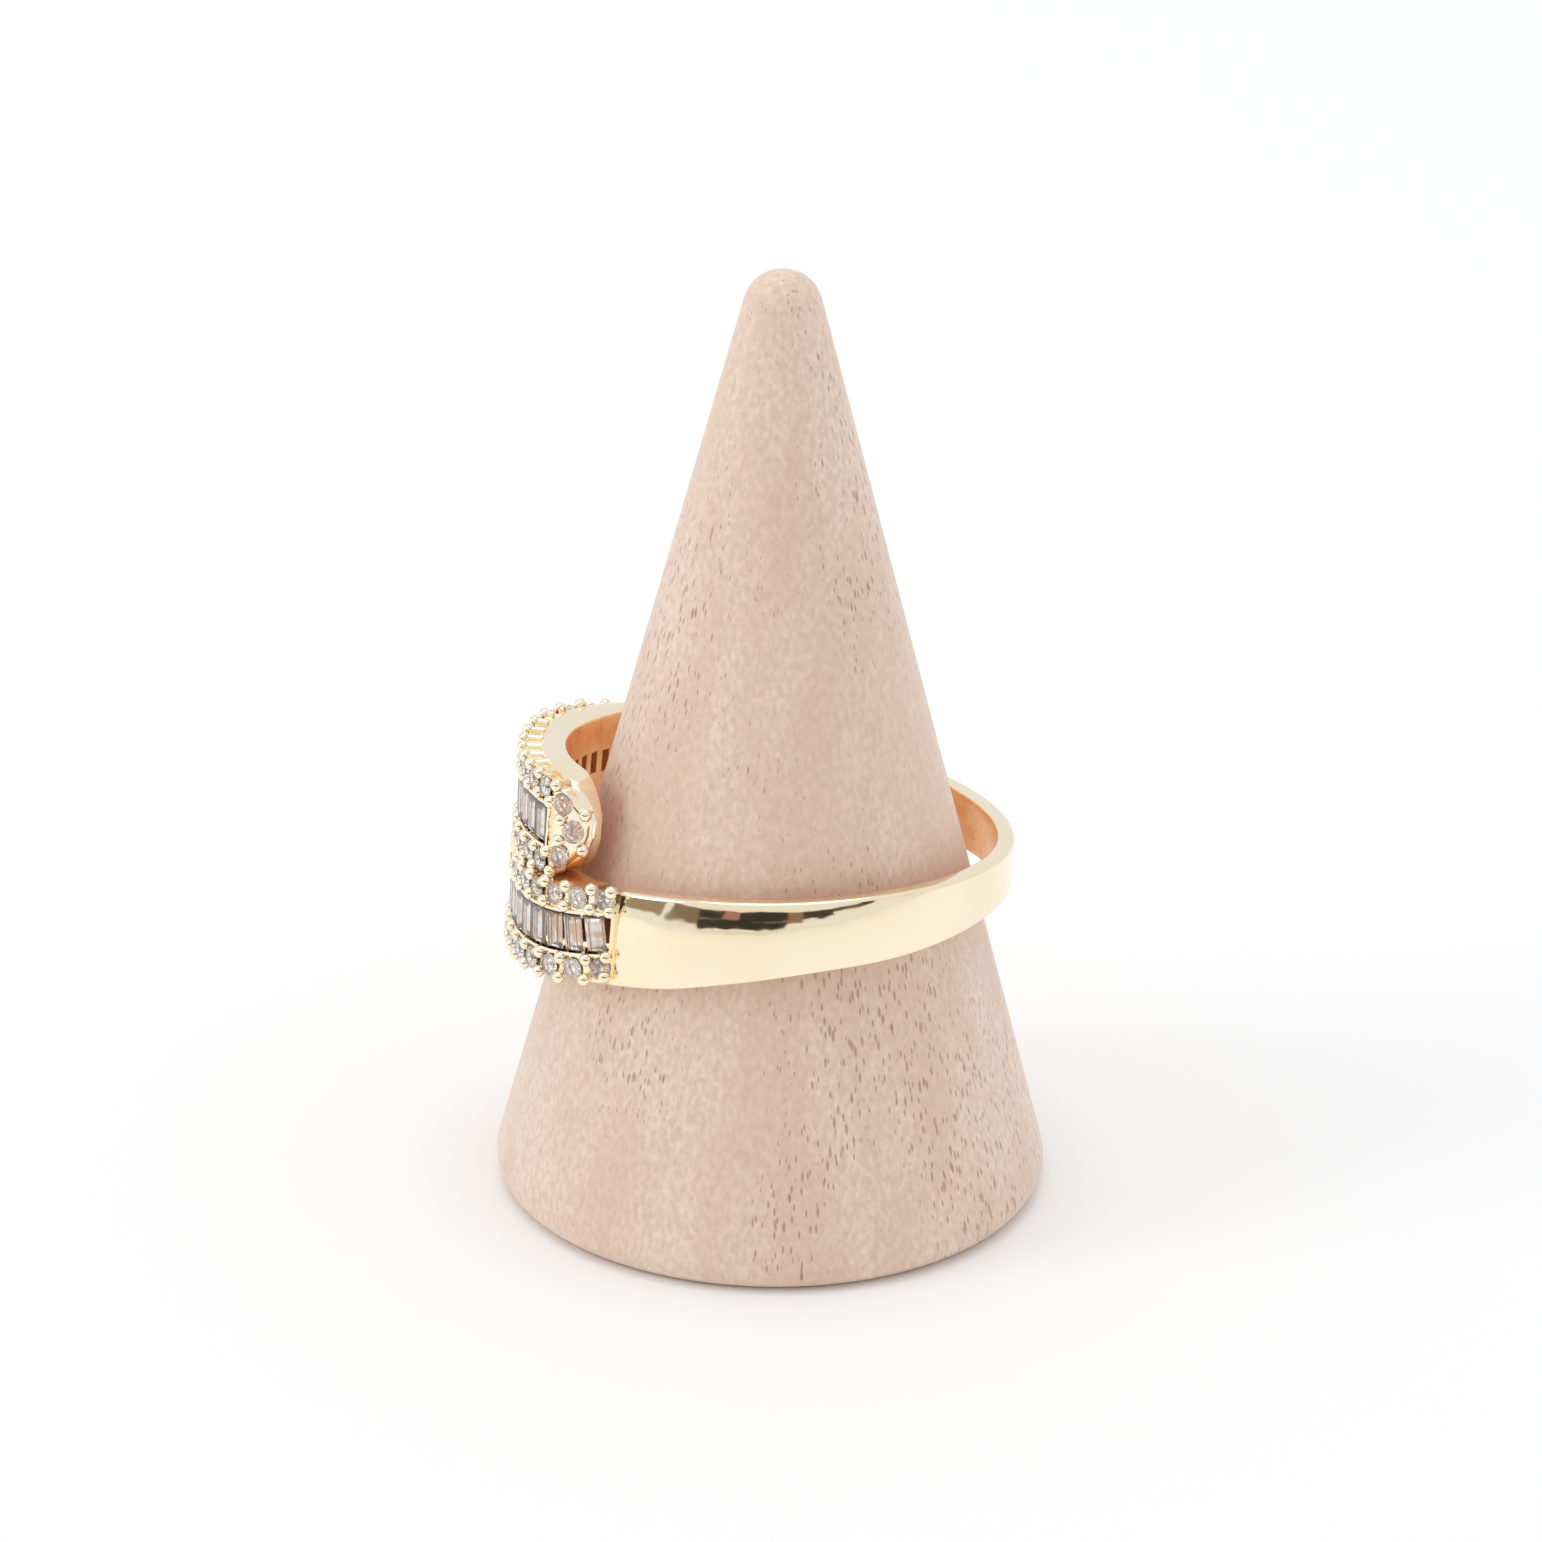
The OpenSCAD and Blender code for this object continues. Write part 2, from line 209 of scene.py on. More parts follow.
def dome(turn):
    """An arm's end rounds down like a dome: how far its tips drop."""
    return DOME_H * (1 - math.sqrt(1 - past_end(turn) ** 2))


def wall_r(turn):
    """Radius of the wall's outer face."""
    return RING_R + metal(turn, WALL) - WALL_DOME * dome(turn)


def tip_r(turn):
    """Radius that the prongs' tips reach."""
    return RING_R + stones(turn, TIPS) - dome(turn)


def bed_r(turn):
    """Radius of the bed's outer face."""
    return tip_r(turn) - BED_DROP


def lean(turn):
    """Lean of the bed's surface towards the round end."""
    rise = tip_r(turn + 0.5) - tip_r(turn - 0.5)
    angle = math.atan(rise / math.radians(tip_r(turn)))
    return max(-math.radians(LEAN_MOST), min(math.radians(LEAN_MOST), angle))


def round_end(turn, end, radius, r):
    """Share of the full width that is left where an arm ends in a half circle."""
    u = math.radians(-end - turn) * r / radius
    return 1 if u <= 0 else math.sqrt(max(0, 1 - u * u))


ROW_PITCH = (STONES_START + ROW_END - ROW_FIRST) / (ROW_STONES - 1)
LAST_SPOT = 2 * ROW_STONES + END_STONES - 1
CHANNEL_START = STONES_START - CHANNEL_FIRST
CHANNEL_END = -ROW_END - CHANNEL_PAST
BAGUETTE_TURN = (CHANNEL_START - CHANNEL_END) / BAGUETTES


def spot(count, offset=0):
    """Turn and height of a place on the row of round stones: out, round the end and back."""
    if ROW_STONES - 1 < count < ROW_STONES + END_STONES:
        angle = math.pi * (count - ROW_STONES + 1) / (END_STONES + 1)
        reach = END_REACH + offset
        turn = -ROW_END - math.degrees(reach * math.sin(angle) / END_BED_R)
        return turn, stones(-ROW_END, MIDDLE) - reach * math.cos(angle)
    way = -1 if count < ROW_STONES else 1
    k = count if way < 0 else LAST_SPOT - count
    turn = STONES_START - ROW_FIRST - k * ROW_PITCH
    return turn, stones(turn, MIDDLE) + way * (stones(turn, REACH) + offset)


SEAT = (
    Matrix.Translation((SEAT_X, SEAT_Y, SEAT_Z))
    @ Matrix.Rotation(math.radians(SEAT_LEAN), 4, "X")
    @ Matrix.Rotation(math.radians(SEAT_PITCH), 4, "Y")
)
TO_METRES = Matrix.Scale(METRES, 4)


def ring_point(r, turn, z):
    """A place on the ring, which leans back a little with its height."""
    turn = math.radians(turn)
    return Vector((-r * math.cos(turn) + FRONT_LEAN * z, -r * math.sin(turn), z))


def on_bed(turn, z, side, lift=0):
    """Place at a height above an arm's bed and square to it: Z points away from the bed."""
    return (
        Matrix.Translation(ring_point(bed_r(turn), side * turn, side * z))
        @ Matrix.Rotation(math.radians(side * turn) + math.pi, 4, "Z")
        @ Matrix.Rotation(math.pi / 2, 4, "Y")
        @ Matrix.Rotation(side * lean(turn), 4, "X")
        @ Matrix.Translation((0, 0, lift))
    )


def select_only(*pieces):
    bpy.ops.object.select_all(action="DESELECT")
    for piece in pieces:
        piece.select_set(True)
    bpy.context.view_layer.objects.active = pieces[0]


def named(name):
    piece = bpy.context.view_layer.objects.active
    piece.name = piece.data.name = name
    return piece


def shape(piece, rule=None):
    """Opens a piece for shaping with the vertices that the rule names selected, or all of them."""
    select_only(piece)
    bpy.ops.object.mode_set(mode="EDIT")
    bpy.ops.mesh.select_mode(type="VERT")
    bpy.ops.mesh.select_all(action="SELECT" if rule is None else "DESELECT")
    if rule is not None:
        bpy.ops.object.mode_set(mode="OBJECT")
        for vertex in piece.data.vertices:
            vertex.select = bool(rule(vertex.co))
        bpy.ops.object.mode_set(mode="EDIT")


def outward():
    """Turns all the faces of the open piece outwards."""
    bpy.ops.mesh.select_all(action="SELECT")
    bpy.ops.mesh.normals_make_consistent(inside=False)


def close():
    bpy.ops.object.mode_set(mode="OBJECT")


def drawn_strip(name, sections, columns=2):
    """A bar drawn out flat, closed at both ends. Each section is turn, low and high radius,
    middle height and half width. X runs against the turn, Y is the radius and Z the height."""
    bpy.ops.object.select_all(action="DESELECT")
    bpy.ops.mesh.primitive_grid_add(
        x_subdivisions=columns, y_subdivisions=1, size=1, rotation=(0, math.pi / 2, 0)
    )
    strip = named(name)
    bpy.ops.object.transform_apply(location=False, rotation=True, scale=False)
    shape(strip)
    here, size = Vector((0, 0, 0)), (1, 1)
    for number, (turn, low, high, middle, half) in enumerate(sections):
        there = Vector((-turn * FLAT_MM, (low + high) / 2, middle))
        if number == 0:
            bpy.ops.transform.translate(value=there)
        else:
            bpy.ops.mesh.extrude_region_move(TRANSFORM_OT_translate={"value": there - here})
        grow = ((high - low) / size[0], 2 * half / size[1])
        bpy.ops.transform.resize(value=(1, grow[0], grow[1]), center_override=there)
        here, size = there, (high - low, 2 * half)
    outward()
    close()
    two_metals(strip)
    return strip


def bevel_edges(piece, rule, width, segments):
    shape(piece, rule)
    bpy.ops.mesh.select_mode(type="EDGE")
    bpy.ops.mesh.bevel(offset=width, segments=segments, affect="EDGES", clamp_overlap=False)
    close()


def two_metals(piece):
    """Gives a piece the metal of the outside, and second the metal of the inside, which carries
    painted bounce light, for the faces that a rule picks later.
    """
    for material in (GOLD, INSIDE_PAINTED_BOUNCE):
        piece.data.materials.append(material)


def faces_painted_bounce(piece, rule):
    """Gives the faces that the rule names the metal of the ring's inside, with its painted bounce
    light.
    """
    for face in piece.data.polygons:
        if rule(face):
            face.material_index = 1


def to_finger(face):
    return face.normal.y < -FACING and face.center.y < RING_R + SKIN


def to_other_arm(face):
    """The side of a strip in the narrow gap between the arms, which gets the inside metal's
    painted bounce light so that the gap doesn't go dark.
    """
    return face.normal.z > FACING and -face.center.x / FLAT_MM < GAP_TURN


def cut_away(piece, *cutters):
    """Cuts the cutters' shapes out of a piece, one after the other."""
    for cutter in cutters:
        select_only(piece)
        cut = piece.modifiers.new("cut", "BOOLEAN")
        cut.operation = "DIFFERENCE"
        cut.solver = "EXACT"
        cut.object = cutter
        bpy.ops.object.modifier_apply(modifier=cut.name)


def copied(piece):
    twin = piece.copy()
    twin.data = piece.data.copy()
    bpy.context.scene.collection.objects.link(twin)
    return twin


def joined(name, pieces):
    select_only(*pieces)
    bpy.ops.object.join()
    return named(name)


def set_out(name, template, places, lengths=None):
    """A copy of the template at each place, joined into one piece. Lengths are those of rods,
    from the template's origin to each one's foot."""
    row = []
    for number, place in enumerate(places):
        one = copied(template)
        if lengths is not None:
            for vertex in one.data.vertices:
                if vertex.co.z < ROD_FOOT:
                    vertex.co.z = -lengths[number]
        one.data.transform(place)
        row.append(one)
    return joined(name, row)


def throw_away(*pieces):
    for piece in pieces:
        bpy.data.objects.remove(piece)


def rolled(piece, side):
    """Bends a flat strip round the ring. Side is 1 for the lower arm, -1 for the upper one."""
    for vertex in piece.data.vertices:
        turn = -vertex.co.x / FLAT_MM
        vertex.co = ring_point(vertex.co.y, side * turn, side * vertex.co.z)
    return piece


def finished(piece, material, slot, *nodes, angle=None):
    """Gives a piece its material, unless its faces have theirs, and hides the nodes of the
    part that it stands for. An angle rounds the shading of the edges below it."""
    select_only(piece)
    if angle is not None:
        bpy.ops.object.shade_smooth_by_angle(angle=math.radians(angle))
    if not piece.data.materials:
        piece.data.materials.append(material)
    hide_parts(*nodes)
    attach(piece, "root")
    return piece


def seated(piece):
    piece.data.transform(TO_METRES @ SEAT)
    return piece


# Materials
def colour(code):
    """sRGB hex to linear."""
    parts = [int(code[i : i + 2], 16) / 255 for i in (1, 3, 5)]
    return [p / 12.92 if p <= 0.04045 else ((p + 0.055) / 1.055) ** 2.4 for p in parts] + [1]


def feed(node, inputs):
    """Sets or links a node's inputs by their names or numbers."""
    for name, value in inputs.items():
        if isinstance(value, bpy.types.NodeSocket):
            node.id_data.links.new(value, node.inputs[name])
        else:
            node.inputs[name].default_value = value


def add(material, kind, inputs=None, stops=None, **settings):
    """Adds a node with its settings, and sets or links its inputs."""
    new = material.node_tree.nodes.new(kind)
    for name, value in settings.items():
        setattr(new, name, value)
    feed(new, inputs or {})
    for number, (position, value) in enumerate(stops or []):
        ramp = new.color_ramp.elements
        stop = ramp[number] if number < len(ramp) else ramp.new(position)
        stop.position = position
        stop.color = value
    return new


def blank(name, **inputs):
    """A new material and its shader, whose even values are set on its own sockets."""
    material = bpy.data.materials.new(name)
    material.use_nodes = True
    shader = material.node_tree.nodes["Principled BSDF"]
    for socket, value in inputs.items():
        shader.inputs[socket.replace("_", " ")].default_value = value
    return material, shader


def place_on(material, stretch=(1, 1, 1), slant=0):
    """The object's own coordinates, stretched to a pattern's proportions and leaned about Y."""
    coordinates = add(material, "ShaderNodeTexCoord").outputs["Object"]
    inputs = {"Vector": coordinates, "Scale": stretch, "Rotation": (0, slant, 0)}
    return add(material, "ShaderNodeMapping", inputs).outputs["Vector"]


def noise(material, size, detail=2.0, stretch=(1, 1, 1), slant=0):
    """Soft noise with spots of about the given size in metres."""
    place = place_on(material, stretch, slant)
    inputs = {"Vector": place, "Scale": 1 / size, "Detail": detail}
    return add(material, "ShaderNodeTexNoise", inputs).outputs["Fac"]


def graded(material, value, *stops):
    return add(material, "ShaderNodeValToRGB", {"Fac": value}, stops).outputs["Color"]


def blended(material, share, first, second):
    """The first colour where the share is 0 and the second where it is 1."""
    mix = add(material, "ShaderNodeMix", data_type="RGBA")
    feed(mix, {0: share, 6: first, 7: second})
    return mix.outputs[2]


def relief(material, height, depth):
    """Relief of a height, whose full step is the depth in metres."""
    inputs = {"Strength": 1.0, "Distance": depth, "Height": height}
    return add(material, "ShaderNodeBump", inputs).outputs["Normal"]


def grey(value):
    return (value, value, value, 1)


def plated_gold():
    """Brass plated with pale yellow gold and buffed: a mirror that waves a little where the
    wheel passed, with a faint cloudy haze."""
    cloud_size, tint_size, wave_size, wave_depth = 0.0012, 0.004, 0.0018, 0.00003
    material, shader = blank("gold_plate_buffed", Metallic=1.0)
    cloud, tint = noise(material, cloud_size), noise(material, tint_size, 1.0)
    haze = graded(material, cloud, (0.3, grey(0.04)), (0.75, grey(0.11)))
    tone = graded(material, tint, (0.3, colour("#FFF2DA")), (0.7, colour("#FFEECC")))
    wave = relief(material, noise(material, wave_size), wave_depth)
    feed(shader, {"Roughness": haze, "Base Color": tone, "Normal": wave})
    return material


def inner_gold_painted_bounce():
    """The same plate where no wheel reaches: satin, with the faint ripple of the casting, and a
    deeper orange that is painted bounce light. A share of it isn't metallic, so that recesses that
    would go dark catch light: painted bounce light."""
    cloud_size, ripple_size, ripple_depth = 0.0009, 0.0004, 0.00001
    # The share that isn't metallic lets recesses catch light: painted bounce light
    material, shader = blank("gold_satin_inside_painted_bounce", Metallic=0.6)
    cloud = noise(material, cloud_size)
    # The deeper orange is painted bounce light from the gold and the wood around it
    deep = graded(material, cloud, (0.3, colour("#F2B06E")), (0.7, colour("#FFD09A")))
    satin = graded(material, cloud, (0.3, grey(0.22)), (0.7, grey(0.36)))
    ripple = relief(material, noise(material, ripple_size, 1.0), ripple_depth)
    feed(shader, {"Roughness": satin, "Base Color": deep, "Normal": ripple})
    return material


def zirconia():
    """Cubic zirconia, cut and polished: clear, bends light strongly and glints, with a faint
    warm body that differs a little from stone to stone."""
    stone_size, clear = 0.0011, 0.9
    material, shader = blank(
        "cubic_zirconia_cut", Roughness=0.0, IOR=2.15, Transmission_Weight=clear
    )
    tone = noise(material, stone_size, 0.0)
    body = graded(material, tone, (0.35, colour("#FFF2E6")), (0.65, colour("#FFFCF8")))
    feed(shader, {"Base Color": body})
    return material


def foil():
    """Foil on the backs of the stones, which throws the light back out through them. It is
    silvery, with warm patches that are a painted reflection of the gold seat."""
    gold_reflection_size = 0.0005
    material, shader = blank("stone_back_foil_painted_gold_reflection", Metallic=1.0)
    gold_reflection_patch = noise(material, gold_reflection_size, 1.0)
    # The warm patches are a painted reflection of the gold seat
    tone = graded(material, gold_reflection_patch, (0.4, colour("#EFCDB4")), (0.55, colour("#FFFEFC")))
    haze = graded(material, gold_reflection_patch, (0.3, grey(0.04)), (0.7, grey(0.14)))
    feed(shader, {"Base Color": tone, "Roughness": haze})
    return material


def pores(material, size, most):
    """Short dark pores along the grain, in loose clusters: a mask that is 1 inside them. They
    are drawn wider than the real ones, of about 0.1 mm, so that they show."""
    cluster_size, along, cluster_along = 0.007, 0.15, 0.5
    inputs = {"Vector": place_on(material, (1, 1, along)), "Scale": 1 / size}
    cells = add(material, "ShaderNodeTexVoronoi", inputs)
    cluster = noise(material, cluster_size, 2.0, (1, 1, cluster_along))
    reach = graded(material, cluster, (0.38, grey(0.03)), (0.6, grey(most)))
    depth = add(material, "ShaderNodeMath", operation="SUBTRACT")
    feed(depth, {0: reach, 1: cells.outputs["Distance"]})
    return graded(material, depth.outputs[0], (0, grey(0)), (0.1, grey(0.6)))


def beech():
    """Beech, turned and sanded: pale pinkish wood with short fine pores along the grain, fine
    mottling, growth bands that lean across it, and a light fuzz that pales its edges."""
    mottle_size, mottle_along, mottle_depth = 0.00024, 0.6, 0.00002
    band_size, band_along, band_slant = 0.003, 0.12, 0.22
    # Size of a kind of pore and the most that it opens, as a share of its cell
    pore_kinds = ((0.00024, 0.27), (0.00036, 0.25))
    material, shader = blank("beech_turned_sanded", Roughness=0.62, Sheen_Weight=0.35)
    mottle = noise(material, mottle_size, 4.0, (1, 1, mottle_along))
    deep, middle, pale = colour("#DCC0AB"), colour("#E8CEBA"), colour("#F3DECE")
    wood = graded(material, mottle, (0.28, deep), (0.5, middle), (0.72, pale))
    streak = noise(material, band_size, 2.0, (1, 1, band_along), band_slant)
    bands = graded(material, streak, (0.4, grey(0)), (0.62, grey(0.5)))
    wood = blended(material, bands, wood, colour("#DDBAA3"))
    for size, most in pore_kinds:
        wood = blended(material, pores(material, size, most), wood, colour("#A06F55"))
    feed(shader, {"Base Color": wood, "Normal": relief(material, mottle, mottle_depth)})
    return material


GOLD = plated_gold()
# The inside metal carries painted bounce light
INSIDE_PAINTED_BOUNCE = inner_gold_painted_bounce()
STONE = zirconia()
FOIL = foil()
WOOD = beech()


# Cone
def turned_cone():
    """Its outline runs up from the foot: an arc round the foot, the straight side, and an arc
    round the tip."""
    sides, foot_steps, side_steps, tip_steps = 128, 8, 12, 16
    tip_z = CONE_H - CONE_TIP_R
    slope = math.atan(CONE_R / tip_z) - math.asin(CONE_TIP_R / math.hypot(CONE_R, tip_z))
    foot_x = CONE_R - CONE_FOOT_R * (1 + math.sin(slope)) / math.cos(slope)
    profile = []
    for i in range(1, foot_steps + 1):
        angle = -math.pi / 2 + (math.pi / 2 + slope) * i / foot_steps
        rise = CONE_FOOT_R * (1 + math.sin(angle))
        profile.append((foot_x + CONE_FOOT_R * math.cos(angle), rise))
    start = Vector(profile[-1])
    end = Vector((CONE_TIP_R * math.cos(slope), tip_z + CONE_TIP_R * math.sin(slope)))
    profile += [tuple(start.lerp(end, i / side_steps)) for i in range(1, side_steps)]
    for i in range(tip_steps):
        angle = slope + (math.pi / 2 - slope) * i / tip_steps
        profile.append((CONE_TIP_R * math.cos(angle), tip_z + CONE_TIP_R * math.sin(angle)))
    bpy.ops.object.select_all(action="DESELECT")
    bpy.ops.mesh.primitive_circle_add(vertices=sides, radius=foot_x, fill_type="NGON")
    cone = named("cone_turned")
    shape(cone)
    radius, z = foot_x, 0
    for next_radius, next_z in profile:
        bpy.ops.mesh.extrude_region_move(TRANSFORM_OT_translate={"value": (0, 0, next_z - z)})
        grow = next_radius / radius
        bpy.ops.transform.resize(value=(grow, grow, 1), center_override=(0, 0, next_z))
        radius, z = next_radius, next_z
    bpy.ops.mesh.extrude_region_move(TRANSFORM_OT_translate={"value": (0, 0, CONE_H - z)})
    bpy.ops.mesh.merge(type="CENTER")
    outward()
    close()
    cone.data.transform(TO_METRES)
    return cone


# Shank
def section_at(sections, co):
    """The section of a flat strip that lies nearest a place on it."""
    return min(sections, key=lambda section: abs(co.x + section[0] * FLAT_MM))


def flat_shank():
    """A strip from arm to arm. It is crowned near each arm, on the side towards the other arm,
    and its near lower edge has a slight belly."""
    count, columns = 66, 6
    crown, crown_end, crown_fade = 0.25, 150, 45
    belly, belly_end = 0.24, 150
    outer_round, inner_round = 0.16, 0.1
    at_edge, mid_wall = 0.99, RING_R + 0.3
    sweep = 360 - 2 * STONES_START
    sections = []
    for i in range(count + 1):
        turn = STONES_START + sweep * i / count
        way = min(1, (turn - STONES_START) / (belly_end - STONES_START))
        drop = belly * math.sin(math.pi * way) / 2
        middle, half = metal(turn, MIDDLE) - drop, metal(turn, HALF) + drop
        sections.append((turn, RING_R, wall_r(turn), middle, half))
    strip = drawn_strip("shank", sections, columns)

    def share(co):
        *_, middle, half = section_at(sections, co)
        return (co.z - middle) / half

    def outer(co):
        return co.y > mid_wall

    for vertex in strip.data.vertices:
        turn, level = -vertex.co.x / FLAT_MM, share(vertex.co)
        from_arm = turn if level > 0 else 360 - turn
        if outer(vertex.co):
            vertex.co.y -= crown * level**2 * min(1, max(0, (crown_end - from_arm) / crown_fade))
    bevel_edges(strip, lambda co: outer(co) and abs(share(co)) > at_edge, outer_round, 5)
    bevel_edges(strip, lambda co: not outer(co) and abs(share(co)) > at_edge, inner_round, 3)
    # The faces against the finger get the inside metal's painted bounce light
    faces_painted_bounce(strip, to_finger)
    return strip


# Arms
def arm_turns(first, end, radius, r):
    """Turns from the shank to an arm's round end, closer together round the end."""
    steps, end_steps, end_sweep = 34, 14, math.radians(84)
    turns = [first - (first + end) * i / steps for i in range(steps + 1)]
    for i in range(1, end_steps + 1):
        turns.append(-end - math.degrees(radius / r * math.sin(end_sweep * i / end_steps)))
    return turns


def outline_rule(sections, upper):
    """Names the vertices on the outline of a strip's outer or inner face."""

    def rule(co):
        turn, low, high, middle, half = section_at(sections, co)
        at_level = abs(co.y - (high if upper else low)) < NEAR
        return at_level and (turn == sections[-1][0] or abs(co.z - middle) > half - NEAR)

    return rule


def flat_wall():
    """Wall of an arm, against the finger, with its outer edge rounded."""
    outer_round, inner_round = 0.22, 0.1
    sections = []
    for turn in arm_turns(STONES_START, END_TURN, END_HALF, FLAT_R):
        half = metal(turn, HALF) * round_end(turn, END_TURN, END_HALF, FLAT_R)
        sections.append((turn, RING_R, wall_r(turn), metal(turn, MIDDLE), half))
    strip = drawn_strip("wall", sections)
    bevel_edges(strip, outline_rule(sections, True), outer_round, 4)
    bevel_edges(strip, outline_rule(sections, False), inner_round, 3)
    # The faces against the finger and towards the other arm get the inside metal's painted bounce
    # light
    faces_painted_bounce(strip, to_finger)
    faces_painted_bounce(strip, to_other_arm)
    return strip


def flat_bed():
    """Bed on the wall, which carries the stones. It laps over the shank's end a little."""
    edge_round, lap = 0.1, 0.2
    sections = []
    for turn in arm_turns(STONES_START + lap, ROW_END, DOME_L, END_BED_R):
        half = (stones(turn, REACH) + BED_EDGE) * round_end(turn, ROW_END, DOME_L, END_BED_R)
        low = wall_r(turn) - BED_ROOT
        sections.append((turn, low, bed_r(turn), stones(turn, MIDDLE), half))
    strip = drawn_strip("bed", sections)
    bevel_edges(strip, outline_rule(sections, True), edge_round, 3)
    # The side towards the other arm gets the inside metal's painted bounce light
    faces_painted_bounce(strip, to_other_arm)
    return strip


def channel_strip(name, turns, half, below, above):
    """A bar along an arm's middle, from a depth below the bed to a height above it."""
    sections = []
    for turn in turns:
        low, high = bed_r(turn) - below, bed_r(turn) + above
        sections.append((turn, low, high, stones(turn, MIDDLE), half))
    return drawn_strip(name, sections)


def channel_turns(first):
    """Turns along the channel, from its start at the shank to its end."""
    steps = CHANNEL_STEPS
    return [first - (first - CHANNEL_END) * i / steps for i in range(steps + 1)]


def flat_rails():
    half = BAGUETTE_L / 2 + RAIL_CLEAR + RAIL_T
    past = math.degrees(RAIL_T / END_BED_R)
    turns = channel_turns(CHANNEL_START) + [CHANNEL_END - past]
    return channel_strip("rails", turns, half, RAIL_ROOT, RAIL_H)


def flat_channel():
    half = BAGUETTE_L / 2 + RAIL_CLEAR
    turns = channel_turns(CHANNEL_START + CHANNEL_SLACK)
    return channel_strip("channel", turns, half, CHANNEL_DEPTH, CUT_PAST)


def baguette_turn(number):
    """Turn of a baguette's middle."""
    return CHANNEL_START - (number + 0.5) * BAGUETTE_TURN


def flat_windows():
    """Openings in the wall behind the baguettes, from inside the ring to the channel."""
    low, high = -0.5, 1.6
    bars = []
    for number in range(BAGUETTES):
        turn = baguette_turn(number)
        bpy.ops.object.select_all(action="DESELECT")
        bpy.ops.mesh.primitive_cube_add(
            size=1,
            location=(-turn * FLAT_MM, RING_R + (low + high) / 2, stones(turn, MIDDLE)),
            scale=(WINDOW_W, high - low, WINDOW_H),
        )
        bpy.ops.object.transform_apply()
        bars.append(named("window"))
    windows = joined("windows", bars)
    two_metals(windows)
    # The window openings get the inside metal's painted bounce light
    faces_painted_bounce(windows, lambda face: True)
    return windows


def flat_seats():
    """A conical pocket for each round stone."""
    radius, depth, above = STONE_D / 2 + SEAT_CLEAR, PAVILION_H + SEAT_CLEAR, 0.1
    grow = (depth + above) / depth
    bpy.ops.object.select_all(action="DESELECT")
    bpy.ops.mesh.primitive_cone_add(
        vertices=24,
        radius1=0,
        radius2=radius * grow,
        depth=depth * grow,
        location=(0, (above - depth) / 2, 0),
        rotation=(-math.pi / 2, 0, 0),
    )
    bpy.ops.object.transform_apply()
    cone = named("seat")
    lift = Matrix.Translation((0, GIRDLE_LIFT, 0))
    places = []
    for count in range(LAST_SPOT + 1):
        turn, z = spot(count)
        place = Matrix.Translation((-turn * FLAT_MM, bed_r(turn), z))
        places.append(place @ Matrix.Rotation(-lean(turn), 4, "Z") @ lift)
    seats = set_out("seats", cone, places)
    throw_away(cone)
    return seats


def prong():
    """A rod with a round bead on its tip, whose top is at the piece's origin."""
    length, bead_r, bead_h = 0.8, 0.3, 0.26
    bpy.ops.object.select_all(action="DESELECT")
    bpy.ops.mesh.primitive_cylinder_add(
        vertices=12, radius=PRONG_D / 2, depth=length, location=(0, 0, -bead_h - length / 2)
    )
    bpy.ops.object.transform_apply()
    rod = named("rod")
    bpy.ops.object.select_all(action="DESELECT")
    bpy.ops.mesh.primitive_uv_sphere_add(
        segments=16,
        ring_count=10,
        radius=1,
        location=(0, 0, -bead_h),
        scale=(bead_r, bead_r, bead_h),
    )
    bpy.ops.object.transform_apply()
    return joined("prong", [rod, named("bead")])


def foiled(stone):
    """Gives a stone its material, and the facets below its girdle their foil."""
    for material in (STONE, FOIL):
        stone.data.materials.append(material)
    for facet in stone.data.polygons:
        facet.material_index = int(facet.center.z < 0)
    return stone


def round_stone():
    """Round cut: a table, a two-step crown, a thin girdle and a two-step pavilion."""
    radius, sides = STONE_D / 2, 16
    star, table, waist, culet = 0.82, 0.6, 0.56, 0.04
    # Rise of each step up from the girdle's foot, and how much the outline grows over it
    crown = [(GIRDLE_T, 1), (0.09, star), (0.07, table / star)]
    waist_drop = 0.2
    pavilion = [(waist_drop, waist), (PAVILION_H - waist_drop, culet)]
    bpy.ops.object.select_all(action="DESELECT")
    bpy.ops.mesh.primitive_circle_add(vertices=sides, radius=radius, fill_type="NGON")
    stone = named("stone")
    shape(stone)
    z = 0
    for rise, grow in crown:
        z += rise
        bpy.ops.mesh.extrude_region_move(TRANSFORM_OT_translate={"value": (0, 0, rise)})
        bpy.ops.transform.resize(value=(grow, grow, 1), center_override=(0, 0, z))
    close()
    shape(stone, lambda co: co.z < GIRDLE_FOOT)
    z = 0
    for drop, grow in pavilion:
        z -= drop
        bpy.ops.mesh.extrude_region_move(TRANSFORM_OT_translate={"value": (0, 0, -drop)})
        bpy.ops.transform.resize(value=(grow, grow, 1), center_override=(0, 0, z))
    outward()
    close()
    return foiled(stone)


